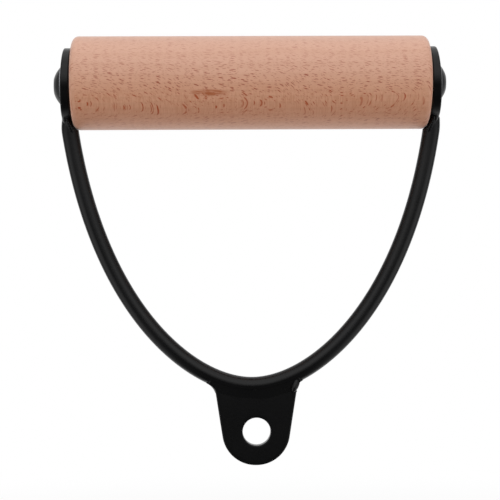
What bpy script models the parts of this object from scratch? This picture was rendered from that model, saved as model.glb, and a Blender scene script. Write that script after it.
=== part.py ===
"""Stirrup pull handle: a turning wooden grip held between two steel eyes on a bent rod bow.

The eyes are round plates welded on the ends of the bow, and a flat drilled lug is welded under the
bow's lowest point. Two screws clamp a tapped axle between the eyes, and the grip turns on that axle.

Lengths are metres. +X runs along the grip to the right, +Z from the lug up to the grip and +Y away
from the viewer. The origin is the centre of the lug's hole.
"""

from math import cos, pi, radians, sin, sqrt, tan

import bmesh
import bpy
import numpy as np
from mathutils import Vector

# Clearances
FIT_GAP = 0.0003            # kept between pieces that touch, or are welded, on the real handle
RUNNING_GAP = 0.0003        # between the turning grip, or its bushes, and what they turn on or beside
ROD_TO_GRIP_GAP = 0.0006    # between the grip and the rod ends that stop below it

# Grip, a turned roll with rounded corners
GRIP_LENGTH = 0.124
GRIP_DIAMETER = 0.0326
GRIP_CORNER = 0.0023

# Axle, tapped at both ends
AXLE_DIAMETER = 0.010
AXLE_TAP_RUNOUT = 0.003     # how far the tapped holes go past the screws

# Flanged bushes, let in flush at both ends of the grip
BUSH_WALL = 0.0017
BUSH_LENGTH = 0.015
BUSH_FLANGE_WIDTH = 0.0015
BUSH_FLANGE_THICKNESS = 0.0015

# Eyes, the round plates at the ends of the grip
EYE_DIAMETER = 0.026
EYE_THICKNESS = 0.003
EYE_EDGE = 0.0008
EYE_HOLE_PLAY = 0.0006      # how much wider the hole is than the screw's thread

# Domed screws, with a hexagon socket
SCREW_HEAD_DIAMETER = 0.0134
SCREW_HEAD_HEIGHT = 0.0030
SCREW_HEAD_RIM = 0.0003
SCREW_HEAD_FLAT = 0.0061
SCREW_THREAD_DIAMETER = 0.006
SCREW_THREAD_CUT = 0.0007   # the shank is drawn plain, this much thinner than its thread
SCREW_SHANK_LENGTH = 0.016
SCREW_SOCKET_ACROSS_FLATS = 0.004
SCREW_SOCKET_DEPTH = 0.0018

# Bow, a round rod whose two halves are each one smooth curve
ROD_DIAMETER = 0.006
BOW_DEPTH = 0.10615         # from the grip's axis down to the rod's centreline at its lowest point
BOW_BOTTOM_PULL = 0.0214    # how far the curve keeps the direction that it has at the bottom
BOW_SIDE_PULL = 0.0628      # how far the curve keeps the direction that it has at a rod end
BOW_LEAN = radians(8.85)    # a rod end's lean from vertical
EYE_WELD_WIDTH = 0.0085

# Lug, a flat plate whose sides spread towards the bow, and its hole
LUG_REACH = 0.01605         # from the rod's centreline at its lowest point down to the hole's centre
LUG_OFFSET = 0.0014         # the lug sits this far right of the bow's middle
LUG_END_RADIUS = 0.0117
LUG_TAPER = radians(9.0)
LUG_THICKNESS = 0.004
LUG_EDGE = 0.0003
LUG_HOLE_DIAMETER = 0.010

# Weld between the lug and the bow
LUG_WELD_LEG = 0.0020       # how far the weld reaches down the plate below the rod
LUG_WELD_BUILD = 0.0012     # how far it stands out of the plate
LUG_WELD_CORNER = 0.0045    # hollow radius at the lug's two corners

# Smoothness of round shapes
ROUND_STEPS = 48
CORNER_STEPS = 5
DOME_STEPS = 7
ROD_RING_RESOLUTION = 6
BOW_STEPS = 26
OUTLINE_STRIDE = 12          # every twelfth computed point of the bow shapes the lug and its weld

# Finishes: colour, roughness, metallic
BEECH = ((0.57, 0.31, 0.21), 0.55, 0.0)
BLACK_COAT = ((0.017, 0.017, 0.018), 0.45, 0.0)
BLACK_SCREW = ((0.022, 0.022, 0.024), 0.40, 0.6)
BARE_STEEL = ((0.50, 0.50, 0.51), 0.35, 1.0)
NYLON = ((0.70, 0.69, 0.65), 0.50, 0.0)

# Places that follow from the sizes above
GRIP_CENTRE = Vector((-LUG_OFFSET, 0, BOW_DEPTH + LUG_REACH))
EYE_INNER_X = GRIP_LENGTH / 2 + RUNNING_GAP
EYE_MIDDLE_X = EYE_INNER_X + EYE_THICKNESS / 2
EYE_OUTER_X = EYE_INNER_X + EYE_THICKNESS
SCREW_SEAT_X = EYE_OUTER_X + FIT_GAP
BUSH_BORE_RADIUS = AXLE_DIAMETER / 2 + RUNNING_GAP
BUSH_RADIUS = BUSH_BORE_RADIUS + BUSH_WALL
BUSH_FLANGE_RADIUS = BUSH_RADIUS + BUSH_FLANGE_WIDTH
ROD_RADIUS = ROD_DIAMETER / 2
ROD_END_BELOW_GRIP = GRIP_DIAMETER / 2 + ROD_TO_GRIP_GAP + ROD_RADIUS * sin(BOW_LEAN)
ROD_END_BELOW_EYE = EYE_DIAMETER / 2 + ROD_RADIUS
ROD_END_DROP = max(ROD_END_BELOW_GRIP, ROD_END_BELOW_EYE)
ROD_END_X = EYE_MIDDLE_X - (ROD_END_DROP - EYE_DIAMETER / 2) * tan(BOW_LEAN)
SIDES = {"left": -1, "right": 1}
FACES = {"front": -1, "back": 1}


def clear_scene():
    """Remove every object, so that the script can be run again."""
    for old in list(bpy.data.objects):
        bpy.data.objects.remove(old, do_unlink=True)


def make_collection(name):
    """Return a new collection in the scene."""
    collection = bpy.data.collections.new(name)
    bpy.context.scene.collection.children.link(collection)
    return collection


def make_material(name, finish):
    """Return a Principled material from a (colour, roughness, metallic) finish."""
    colour, roughness, metallic = finish
    material = bpy.data.materials.new(name)
    material.use_nodes = True
    shader = material.node_tree.nodes["Principled BSDF"]
    shader.inputs["Base Color"].default_value = (*colour, 1)
    shader.inputs["Roughness"].default_value = roughness
    shader.inputs["Metallic"].default_value = metallic
    material.diffuse_color = (*colour, 1)
    return material


def add_object(name, data, collection, finish=None):
    """Put mesh or curve data into the scene as a named object, with a material if a finish is given."""
    piece = bpy.data.objects.new(name, data)
    collection.objects.link(piece)
    if finish:
        data.materials.append(make_material(name + "_finish", finish))
    return piece


def hide_as_cutter(piece):
    """Mark an object as a cutter, which isn't part of the model."""
    piece.hide_render = True
    piece.display_type = "WIRE"
    return piece


def smooth(mesh):
    """Shade round faces smooth and keep the edges of flat ones sharp."""
    mesh.shade_smooth()
    mesh.set_sharp_from_angle(angle=radians(35))


def cut(piece, cutter):
    """Take the cutter's shape out of the piece."""
    modifier = piece.modifiers.new("cut by " + cutter.name, "BOOLEAN")
    modifier.operation = "DIFFERENCE"
    modifier.solver = "EXACT"
    modifier.object = cutter


def bevel(piece, width, segments):
    """Round a piece's sharp edges."""
    modifier = piece.modifiers.new("rounded edges", "BEVEL")
    modifier.width = width
    modifier.segments = segments
    modifier.limit_method = "ANGLE"


def turned(name, profile, collection, finish=None):
    """Turn a profile of (radius, height) points about local Z.

    The points run down the outer side, from the top to the bottom. A profile that doesn't start and
    end on the axis is closed into a ring.
    """
    count = len(profile)
    edges = [(i, i + 1) for i in range(count - 1)]
    if profile[0][0] > 0:
        edges.append((count - 1, 0))
    mesh = bpy.data.meshes.new(name)
    mesh.from_pydata([(radius, 0, height) for radius, height in profile], edges, [])
    piece = add_object(name, mesh, collection, finish)
    screw = piece.modifiers.new("turned", "SCREW")
    screw.axis = "Z"
    screw.angle = 2 * pi
    screw.steps = ROUND_STEPS
    screw.render_steps = ROUND_STEPS
    screw.use_merge_vertices = True
    screw.merge_threshold = 0.00001
    screw.use_smooth_shade = True
    return piece


def cylinder(name, radius, length, collection, finish=None, sides=ROUND_STEPS):
    """Make a capped cylinder along local Z, centred on its origin."""
    mesh = bpy.data.meshes.new(name)
    form = bmesh.new()
    bmesh.ops.create_cone(form, cap_ends=True, segments=sides, radius1=radius, radius2=radius, depth=length)
    form.to_mesh(mesh)
    form.free()
    smooth(mesh)
    return add_object(name, mesh, collection, finish)


def solid_from_curve(curve_object, collection, finish=None):
    """Replace a curve object by a closed mesh of the same name, shape and place."""
    name = curve_object.name
    curve_object.name = name + "_curve"
    graph = bpy.context.evaluated_depsgraph_get()
    mesh = bpy.data.meshes.new_from_object(curve_object.evaluated_get(graph))
    mesh.name = name
    form = bmesh.new()
    form.from_mesh(mesh)
    bmesh.ops.remove_doubles(form, verts=form.verts, dist=0.000001)
    bmesh.ops.recalc_face_normals(form, faces=form.faces)
    form.to_mesh(mesh)
    form.free()
    smooth(mesh)
    piece = add_object(name, mesh, collection, finish)
    piece.matrix_world = curve_object.matrix_world.copy()
    bpy.data.objects.remove(curve_object, do_unlink=True)
    return piece


def arc(centre, radius, start, end, steps):
    """Return points along an arc, from the start angle to the end angle, both included."""
    angles = np.linspace(start, end, steps + 1)
    return [(centre[0] + radius * cos(a), centre[1] + radius * sin(a)) for a in angles]


def lie_along_x(piece, x, side=1):
    """Turn a piece made along local Z so that its top points along X to the given side of the grip."""
    piece.rotation_euler = (0, side * pi / 2, 0)
    piece.location = GRIP_CENTRE + Vector((x, 0, 0))


def bow_centreline(samples=400):
    """Return points of the rod's centreline, left to right, in X and Z from the grip's centre."""
    t = np.linspace(0, 1, samples)[:, None]
    end = np.array([ROD_END_X, -ROD_END_DROP])
    side_handle = end - BOW_SIDE_PULL * np.array([sin(BOW_LEAN), cos(BOW_LEAN)])
    bottom_handle = np.array([BOW_BOTTOM_PULL, -BOW_DEPTH])
    bottom = np.array([0, -BOW_DEPTH])
    right = ((1 - t) ** 3 * bottom + 3 * (1 - t) ** 2 * t * bottom_handle
             + 3 * (1 - t) * t ** 2 * side_handle + t ** 3 * end)
    left = right[::-1] * (-1, 1)
    return np.vstack([left[:-1], right])


def parallel_to_bow(distance):
    """Return the centreline moved outwards by a distance, away from the grip."""
    line = bow_centreline()
    direction = np.gradient(line, axis=0)
    direction /= np.linalg.norm(direction, axis=1)[:, None]
    outwards = np.stack([direction[:, 1], -direction[:, 0]], axis=1)
    return line + distance * outwards


def bow_curve(name, radius, collection):
    """Make the bow's curve as a rod of the given radius, capped at both ends."""
    data = bpy.data.curves.new(name, "CURVE")
    data.dimensions = "3D"
    data.fill_mode = "FULL"
    data.bevel_depth = radius
    data.bevel_resolution = ROD_RING_RESOLUTION
    data.use_fill_caps = True
    data.resolution_u = BOW_STEPS
    data.render_resolution_u = BOW_STEPS
    spline = data.splines.new("BEZIER")
    spline.bezier_points.add(2)
    side_handle = BOW_SIDE_PULL * Vector((sin(BOW_LEAN), 0, cos(BOW_LEAN)))
    left_end, bottom, right_end = spline.bezier_points
    for point in spline.bezier_points:
        point.handle_left_type = "FREE"
        point.handle_right_type = "FREE"
    right_end.co = (ROD_END_X, 0, -ROD_END_DROP)
    right_end.handle_left = right_end.co - side_handle
    right_end.handle_right = right_end.co + side_handle
    bottom.co = (0, 0, -BOW_DEPTH)
    bottom.handle_left = bottom.co - Vector((BOW_BOTTOM_PULL, 0, 0))
    bottom.handle_right = bottom.co + Vector((BOW_BOTTOM_PULL, 0, 0))
    left_end.co = right_end.co * Vector((-1, 1, 1))
    left_end.handle_right = right_end.handle_left * Vector((-1, 1, 1))
    left_end.handle_left = right_end.handle_right * Vector((-1, 1, 1))
    piece = add_object(name, data, collection)
    piece.location = GRIP_CENTRE
    return piece


def plate_curve(name, outlines, thickness, edge, collection):
    """Make an upright flat plate from closed outlines of (x, z) points; inner outlines are holes."""
    data = bpy.data.curves.new(name, "CURVE")
    data.dimensions = "2D"
    data.fill_mode = "BOTH"
    data.extrude = thickness / 2 - edge
    data.bevel_depth = edge
    data.bevel_resolution = 0
    data.offset = -edge
    for outline in outlines:
        spline = data.splines.new("POLY")
        spline.points.add(len(outline) - 1)
        spline.use_cyclic_u = True
        for point, (x, z) in zip(spline.points, outline):
            point.co = (x, z, 0, 1)
    piece = add_object(name, data, collection)
    piece.rotation_euler = (pi / 2, 0, 0)
    bpy.context.view_layer.update()
    return piece


def grip_outline(margin=0.0):
    """Return the outer profile of the grip, top to bottom, grown by a margin."""
    half = GRIP_LENGTH / 2
    radius = GRIP_DIAMETER / 2
    corner = GRIP_CORNER + margin
    top = arc((radius - GRIP_CORNER, half - GRIP_CORNER), corner, pi / 2, 0, CORNER_STEPS)
    bottom = arc((radius - GRIP_CORNER, GRIP_CORNER - half), corner, 0, -pi / 2, CORNER_STEPS)
    return top + bottom


def make_grip(collection, axis):
    """Turn the grip with its bore and the recesses for the bush flanges."""
    half = GRIP_LENGTH / 2
    bore = BUSH_RADIUS + FIT_GAP
    recess = BUSH_FLANGE_RADIUS + FIT_GAP
    floor = half - BUSH_FLANGE_THICKNESS - FIT_GAP
    lower = [(recess, -half), (recess, -floor), (bore, -floor)]
    inside = lower + [(radius, -height) for radius, height in reversed(lower)]
    grip = turned("grip", grip_outline() + inside, collection, BEECH)
    grip.rotation_euler = (0, pi / 2, 0)
    grip.parent = axis


def make_bush(side_name, collection, axis):
    """Turn a flanged bush, flush with the end of the grip and running on the axle."""
    profile = [
        (BUSH_BORE_RADIUS, 0),
        (BUSH_FLANGE_RADIUS, 0),
        (BUSH_FLANGE_RADIUS, -BUSH_FLANGE_THICKNESS),
        (BUSH_RADIUS, -BUSH_FLANGE_THICKNESS),
        (BUSH_RADIUS, -BUSH_LENGTH),
        (BUSH_BORE_RADIUS, -BUSH_LENGTH),
    ]
    bush = turned("bush_" + side_name, profile, collection, NYLON)
    side = SIDES[side_name]
    bush.rotation_euler = (0, side * pi / 2, 0)
    bush.location = (side * GRIP_LENGTH / 2, 0, 0)
    bush.parent = axis


def make_axle(collection, cutters):
    """Make the axle between the eyes, with a blind tapped hole in each end."""
    end = EYE_INNER_X - FIT_GAP
    axle = cylinder("axle", AXLE_DIAMETER / 2, 2 * end, collection, BARE_STEEL)
    lie_along_x(axle, 0)
    tap_depth = SCREW_SHANK_LENGTH - (SCREW_SEAT_X - end) + AXLE_TAP_RUNOUT
    for side_name, side in SIDES.items():
        tap = cylinder("tap_" + side_name, SCREW_THREAD_DIAMETER / 2, 2 * tap_depth, cutters)
        lie_along_x(hide_as_cutter(tap), side * end, side)
        cut(axle, tap)


def make_eye(side_name, collection, cutters):
    """Make the round plate at one end of the grip, drilled for its screw."""
    side = SIDES[side_name]
    eye = cylinder("eye_" + side_name, EYE_DIAMETER / 2, EYE_THICKNESS, collection, BLACK_COAT)
    lie_along_x(eye, side * EYE_MIDDLE_X, side)
    bevel(eye, EYE_EDGE, 2)
    hole = (SCREW_THREAD_DIAMETER + EYE_HOLE_PLAY) / 2
    drill = cylinder("drill_" + side_name, hole, 2 * EYE_THICKNESS, cutters)
    lie_along_x(hide_as_cutter(drill), side * EYE_MIDDLE_X, side)
    cut(eye, drill)


def make_screw(side_name, collection, cutters):
    """Turn a domed screw and cut its hexagon socket.

    The dome is an arc about a point on the screw's axis, from the rim up to the flat top.
    """
    head = SCREW_HEAD_DIAMETER / 2
    flat = SCREW_HEAD_FLAT / 2
    rise = SCREW_HEAD_HEIGHT - SCREW_HEAD_RIM
    centre = (SCREW_HEAD_HEIGHT + SCREW_HEAD_RIM) / 2 - (head ** 2 - flat ** 2) / (2 * rise)
    dome_radius = sqrt(head ** 2 + (SCREW_HEAD_RIM - centre) ** 2)
    top_angle = np.arctan2(SCREW_HEAD_HEIGHT - centre, flat)
    rim_angle = np.arctan2(SCREW_HEAD_RIM - centre, head)
    dome = arc((0, centre), dome_radius, top_angle, rim_angle, DOME_STEPS)
    shank = (SCREW_THREAD_DIAMETER - SCREW_THREAD_CUT) / 2
    profile = [(0, SCREW_HEAD_HEIGHT)] + dome
    profile += [(head, 0), (shank, 0), (shank, -SCREW_SHANK_LENGTH), (0, -SCREW_SHANK_LENGTH)]
    screw = turned("screw_" + side_name, profile, collection, BLACK_SCREW)
    side = SIDES[side_name]
    lie_along_x(screw, side * SCREW_SEAT_X, side)
    socket_radius = SCREW_SOCKET_ACROSS_FLATS / 2 / cos(pi / 6)
    socket = cylinder("socket_" + side_name, socket_radius, 2 * SCREW_SOCKET_DEPTH, cutters, sides=6)
    lie_along_x(hide_as_cutter(socket), side * (SCREW_SEAT_X + SCREW_HEAD_HEIGHT), side)
    cut(screw, socket)


def make_eye_weld(side_name, collection, cutters):
    """Make the neck of weld from a rod end to the rim of its eye.

    It starts round on the rod end and becomes as thick as the eye. The rim and the grip's rounded
    corner, with their gaps, are then cut out of it.
    """
    side = SIDES[side_name]
    rim = EYE_DIAMETER / 2 + FIT_GAP
    along = Vector((sin(BOW_LEAN), 0, cos(BOW_LEAN)))
    across = Vector((cos(BOW_LEAN), 0, -sin(BOW_LEAN)))
    base = Vector((ROD_END_X, 0, -ROD_END_DROP)) + FIT_GAP * along
    top = Vector((EYE_MIDDLE_X, 0, FIT_GAP - sqrt(rim ** 2 - (EYE_WELD_WIDTH / 2) ** 2)))
    mesh = bpy.data.meshes.new("eye_weld_" + side_name)
    form = bmesh.new()
    bmesh.ops.create_cone(form, cap_ends=True, segments=24, radius1=1, radius2=1, depth=2)
    for vertex in form.verts:
        x, y, z = vertex.co
        if z < 0:
            place = base + ROD_RADIUS * (x * across + Vector((0, y, 0)))
        else:
            place = top + Vector((x * EYE_THICKNESS / 2, y * EYE_WELD_WIDTH / 2, 0))
        vertex.co = (side * place.x, place.y, place.z)
    bmesh.ops.recalc_face_normals(form, faces=form.faces)
    form.to_mesh(mesh)
    form.free()
    smooth(mesh)
    weld = add_object("eye_weld_" + side_name, mesh, collection, BLACK_COAT)
    weld.location = GRIP_CENTRE
    rim_cutter = cylinder("rim_" + side_name, rim, 4 * EYE_THICKNESS, cutters)
    lie_along_x(hide_as_cutter(rim_cutter), side * EYE_MIDDLE_X, side)
    cut(weld, rim_cutter)
    swept_half = GRIP_LENGTH / 2 + RUNNING_GAP
    swept = [(0, swept_half)] + grip_outline(RUNNING_GAP) + [(0, -swept_half)]
    grip_cutter = turned("grip_sweep_" + side_name, swept, cutters)
    lie_along_x(hide_as_cutter(grip_cutter), 0, side)
    cut(weld, grip_cutter)


def make_bow(collection):
    """Bend the rod between the two eyes."""
    bow = bow_curve("bow", ROD_RADIUS, collection)
    bow.data.materials.append(make_material("bow_finish", BLACK_COAT))


def lug_side_at(z):
    """Return how far the lug's side is from its middle at a height above the hole."""
    return LUG_END_RADIUS / cos(LUG_TAPER) + z * tan(LUG_TAPER)


def half_bow(distance, side):
    """Return one half of the bow moved outwards by a distance, with X away from the lug's middle."""
    line = parallel_to_bow(distance) + (GRIP_CENTRE.x, GRIP_CENTRE.z)
    line = line[::side] * (side, 1)
    return line[line[:, 0] > 0]


def both_halves(half_outline):
    """Join an outline's right half, run clockwise from the top, with its left half run back up."""
    right = half_outline(1)
    left = [(-x, z) for x, z in half_outline(-1)]
    return right + left[::-1]


def lug_outline(margin=0.0):
    """Return the lug's outline, grown by a margin, up to the rod's centreline."""
    def half_outline(side):
        along = half_bow(0, side)
        past_side = along[:, 0] - lug_side_at(along[:, 1]) - margin / cos(LUG_TAPER)
        past_side = np.maximum.accumulate(past_side)
        corner = tuple(np.interp(0, past_side, along[:, axis]) for axis in range(2))
        top = [tuple(point) for point in along[past_side < -LUG_EDGE][::OUTLINE_STRIDE]]
        end = arc((0, 0), LUG_END_RADIUS + margin, -LUG_TAPER, -pi / 2, ROUND_STEPS // 4)
        return top + [corner] + (end if side > 0 else end[:-1])
    return both_halves(half_outline)


def make_lug(collection, bow_cutter):
    """Cut the lug from plate, with its hole, and let the rod into its top edge."""
    hole = arc((0, 0), LUG_HOLE_DIAMETER / 2, 0, 2 * pi, ROUND_STEPS)[:-1]
    curve = plate_curve("lug", [lug_outline(), hole], LUG_THICKNESS, LUG_EDGE, collection)
    lug = solid_from_curve(curve, collection, BLACK_COAT)
    cut(lug, bow_cutter)


def corner_hollow(side):
    """Return the weld's hollow arc in one of the lug's corners, and the bow's point beside it.

    The arc's centre is the corner radius away from the rod's surface and from the lug's side. The
    arc runs from the rod to the lug, and its points are (x, z) with X away from the lug's middle.
    """
    reach = half_bow(ROD_RADIUS + LUG_WELD_CORNER, side)
    from_side = np.maximum.accumulate(reach[:, 0] - lug_side_at(reach[:, 1])) * cos(LUG_TAPER)
    centre = [np.interp(LUG_WELD_CORNER, from_side, reach[:, axis]) for axis in range(2)]
    line = half_bow(0, side)
    beside = line[np.argmin(np.linalg.norm(line - centre, axis=1))]
    to_rod = np.arctan2(beside[1] - centre[1], beside[0] - centre[0])
    return arc(centre, LUG_WELD_CORNER, to_rod, pi - LUG_TAPER, CORNER_STEPS), beside


def lug_weld_outline():
    """Return the outline of the weld round the top of the lug, seen from the front."""
    def half_outline(side):
        hollow, beside = corner_hollow(side)
        along = half_bow(0, side)
        toe = half_bow(ROD_RADIUS + LUG_WELD_LEG, side)
        top = along[along[:, 0] < beside[0] - LUG_WELD_LEG][::OUTLINE_STRIDE]
        bottom = toe[toe[:, 0] < lug_side_at(toe[:, 1]) - LUG_WELD_LEG][::-OUTLINE_STRIDE]
        return [tuple(point) for point in (*top, beside, *hollow, *bottom)]
    return both_halves(half_outline)


def make_lug_weld(face_name, collection, bow_cutter, lug_cutter):
    """Lay the weld along the front or the back of the lug, as far as the middle of its thickness."""
    depth = LUG_THICKNESS / 2 + LUG_WELD_BUILD - FIT_GAP / 2
    name = "lug_weld_" + face_name
    curve = plate_curve(name, [lug_weld_outline()], depth, LUG_WELD_BUILD / 2, collection)
    curve.location.y = FACES[face_name] * (FIT_GAP + depth) / 2
    bpy.context.view_layer.update()
    weld = solid_from_curve(curve, collection, BLACK_COAT)
    cut(weld, bow_cutter)
    cut(weld, lug_cutter)


def main():
    """Build the handle."""
    clear_scene()
    parts = make_collection("stirrup_handle")
    cutters = make_collection("cutters")
    axis = bpy.data.objects.new("grip_axis", None)
    axis.location = GRIP_CENTRE
    parts.objects.link(axis)
    make_grip(parts, axis)
    make_axle(parts, cutters)
    for side_name in SIDES:
        make_bush(side_name, parts, axis)
        make_eye(side_name, parts, cutters)
        make_screw(side_name, parts, cutters)
        make_eye_weld(side_name, parts, cutters)
    make_bow(parts)
    bow_cutter = solid_from_curve(bow_curve("bow_with_gap", ROD_RADIUS + FIT_GAP, cutters), cutters)
    hide_as_cutter(bow_cutter)
    make_lug(parts, bow_cutter)
    grown = plate_curve("lug_with_gap", [lug_outline(FIT_GAP)], LUG_THICKNESS + 2 * FIT_GAP, 0, cutters)
    lug_cutter = hide_as_cutter(solid_from_curve(grown, cutters))
    for face_name in FACES:
        make_lug_weld(face_name, parts, bow_cutter, lug_cutter)


main()
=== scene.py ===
"""Stirrup pull handle: a turning beech grip between two steel eyes on a bent rod bow with a drilled lug.

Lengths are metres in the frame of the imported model. The origin is the centre of the lug's hole, +X runs
along the grip to the right, +Z from the lug up to the grip, and +Y away from the viewer. Where a field
holds a pair of values for the two sides, the left one comes first.
"""
import logging
from dataclasses import dataclass
from enum import Enum
from math import cos, pi, radians, sin, sqrt, tan
from typing import Any, ClassVar

import bpy
import numpy as np
from mathutils import Matrix, Vector


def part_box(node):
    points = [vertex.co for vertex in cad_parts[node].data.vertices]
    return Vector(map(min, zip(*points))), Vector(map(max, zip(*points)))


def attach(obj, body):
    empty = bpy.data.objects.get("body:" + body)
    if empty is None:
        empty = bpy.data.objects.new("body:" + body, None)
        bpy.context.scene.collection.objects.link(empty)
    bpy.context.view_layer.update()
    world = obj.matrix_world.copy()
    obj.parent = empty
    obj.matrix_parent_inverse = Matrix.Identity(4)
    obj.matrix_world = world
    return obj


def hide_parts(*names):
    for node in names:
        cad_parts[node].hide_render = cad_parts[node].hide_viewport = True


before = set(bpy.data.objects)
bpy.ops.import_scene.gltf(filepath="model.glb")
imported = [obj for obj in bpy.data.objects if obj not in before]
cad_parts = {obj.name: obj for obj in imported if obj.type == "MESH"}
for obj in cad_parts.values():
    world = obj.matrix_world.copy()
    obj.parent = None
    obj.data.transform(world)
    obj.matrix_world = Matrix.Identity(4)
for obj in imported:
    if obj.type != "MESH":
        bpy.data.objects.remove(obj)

MILLIMETRES = 1000.0
WHITE = (1.0, 1.0, 1.0, 1.0)
TINY = 1e-9
log = logging.getLogger("handle")


class Body(Enum):
    """The two rigid bodies of the handle."""

    HANDLE = "handle_frame"
    ROLL = "grip_roll"


class Side(Enum):
    """The two ends of the grip, with the direction of each along X."""

    LEFT = -1
    RIGHT = 1

    @property
    def label(self) -> str:
        """Return the side's name as the nodes spell it."""
        return self.name.lower()

    def pick(self, pair: tuple) -> Any:
        """Return this side's value of a pair, whose left value comes first."""
        return pair[0] if self is Side.LEFT else pair[1]


@dataclass(frozen=True)
class Value:
    """A number that varies over a surface: one output socket of a graph, with arithmetic."""

    graph: "Graph"
    socket: bpy.types.NodeSocket

    def __add__(self, other: "Value | float") -> "Value":
        """Return the sum."""
        return self.graph.maths("ADD", self, other)

    def __sub__(self, other: "Value | float") -> "Value":
        """Return the difference."""
        return self.graph.maths("SUBTRACT", self, other)

    def __rsub__(self, other: float) -> "Value":
        """Return a number less this value."""
        return self.graph.maths("SUBTRACT", other, self)

    def __mul__(self, other: "Value | float") -> "Value":
        """Return the product."""
        return self.graph.maths("MULTIPLY", self, other)

    def __truediv__(self, other: "Value | float") -> "Value":
        """Return the quotient."""
        return self.graph.maths("DIVIDE", self, other)

    def __pow__(self, other: "Value | float") -> "Value":
        """Return the power."""
        return self.graph.maths("POWER", self, other)

    __radd__ = __add__
    __rmul__ = __mul__


class Graph:
    """A node tree that is being written, either a material's or the world's."""

    def __init__(self, tree: bpy.types.NodeTree) -> None:
        """Start from an empty tree."""
        self.tree = tree
        tree.nodes.clear()

    def node(self, kind: str, settings: dict | None = None, inputs: dict | None = None) -> bpy.types.Node:
        """Add a node, set what it is, and then fill its sockets.

        Args:
            kind: The node's type, such as ShaderNodeMath.
            settings: Attributes of the node and their values.
            inputs: What goes into each input, by the socket's name or number: a constant or a link.

        Returns:
            The new node.
        """
        node = self.tree.nodes.new(kind)
        for setting, value in (settings or {}).items():
            setattr(node, setting, value)
        for key, value in (inputs or {}).items():
            if isinstance(value, Value):
                value = value.socket
            if isinstance(value, bpy.types.NodeSocket):
                self.tree.links.new(value, node.inputs[key])
            else:
                node.inputs[key].default_value = value
        return node

    def value(self, kind: str, settings: dict | None, inputs: dict, output: str | int = 0) -> Value:
        """Add a node and return one of its outputs as a value."""
        return Value(self, self.node(kind, settings, inputs).outputs[output])

    def maths(self, operation: str, *inputs: "Value | float") -> Value:
        """Add a Math node and return its value."""
        return self.value("ShaderNodeMath", {"operation": operation}, dict(enumerate(inputs)))

    def vector(self, x: "Value | float", y: "Value | float",
               z: "Value | float" = 0.0) -> bpy.types.NodeSocket:
        """Join three numbers into a vector."""
        return self.node("ShaderNodeCombineXYZ", None, {"X": x, "Y": y, "Z": z}).outputs["Vector"]

    def place(self, output: str = "Object") -> list[Value]:
        """Split a texture coordinate into its three numbers.

        Args:
            output: Which of the coordinates.

        Returns:
            X, Y and Z.
        """
        coordinate = self.node("ShaderNodeTexCoord").outputs[output]
        split = self.node("ShaderNodeSeparateXYZ", None, {"Vector": coordinate})
        return [Value(self, split.outputs[axis]) for axis in "XYZ"]

    def noise(self, place: bpy.types.NodeSocket, scale: float = 1.0, detail: float = 2.0,
              rough: float = 0.5) -> Value:
        """Return fractal noise centred on zero, which mostly stays within half a unit either way."""
        inputs = {"Vector": place, "Scale": scale, "Detail": detail, "Roughness": rough}
        return (self.value("ShaderNodeTexNoise", {"noise_dimensions": "3D"}, inputs, "Fac") - 0.5) * 2.0

    def step(self, value: Value, start: "Value | float", end: "Value | float") -> Value:
        """Add a smooth step from 0 to 1.

        Args:
            value: What the step looks at.
            start: Where it leaves 0.
            end: Where it reaches 1, which may lie below the start.

        Returns:
            The step's value.
        """
        settings = {"interpolation_type": "SMOOTHSTEP", "clamp": True}
        inputs = {"Value": value, "From Min": start, "From Max": end, "To Min": 0.0, "To Max": 1.0}
        return self.value("ShaderNodeMapRange", settings, inputs, "Result")

    def colour(self, factor: "Value | float", first: object, second: object) -> bpy.types.NodeSocket:
        """Mix two colours, each a link or four numbers, by a factor."""
        return self.node("ShaderNodeMix", {"data_type": "RGBA"}, {0: factor, 6: first, 7: second}).outputs[2]

    def blend(self, factor: object, first: bpy.types.Node, second: bpy.types.Node) -> bpy.types.Node:
        """Mix two shaders by a factor."""
        return self.node("ShaderNodeMixShader", None, {0: factor, 1: first.outputs[0], 2: second.outputs[0]})

    def ramp(self, place: Value, stops: list, most: float) -> Value:
        """Return a number that runs in straight lines from stop to stop.

        Args:
            place: Where on the ramp, from 0 to 1.
            stops: Pairs of a place and the number there. The first place is 0 and the last is 1.
            most: The largest number of all, because a ramp's own colours stay below 1.

        Returns:
            The number.
        """
        node = self.node("ShaderNodeValToRGB", None, {"Fac": place})
        elements = node.color_ramp.elements
        for position, _ in stops[1:-1]:
            elements.new(position)
        for element, (_, number) in zip(elements, stops):
            element.color = (number / most, number / most, number / most, 1.0)
        return Value(self, node.outputs["Color"]) * most

    def bump(self, height: Value, distance: float, strength: float) -> bpy.types.NodeSocket:
        """Return a normal for a height that is read in the given distance."""
        inputs = {"Height": height, "Distance": distance, "Strength": strength}
        return self.node("ShaderNodeBump", None, inputs).outputs["Normal"]


class Finish:
    """A finish: one Principled shader, with constants in some sockets and a surface's links in others."""

    name: ClassVar[str]
    constants: ClassVar[dict] = {}

    def surface(self, graph: Graph) -> dict:
        """Return what changes over the surface.

        Args:
            graph: The material's graph.

        Returns:
            Links, by the shader's socket.
        """
        raise NotImplementedError

    def material(self) -> bpy.types.Material:
        """Make the finish's material.

        Returns:
            A new material, with its nodes written.
        """
        material = bpy.data.materials.new(self.name)
        material.use_nodes = True
        graph = Graph(material.node_tree)
        shader = graph.node("ShaderNodeBsdfPrincipled", None, {**self.constants, **self.surface(graph)})
        graph.node("ShaderNodeOutputMaterial", None, {"Surface": shader.outputs["BSDF"]})
        return material


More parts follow.
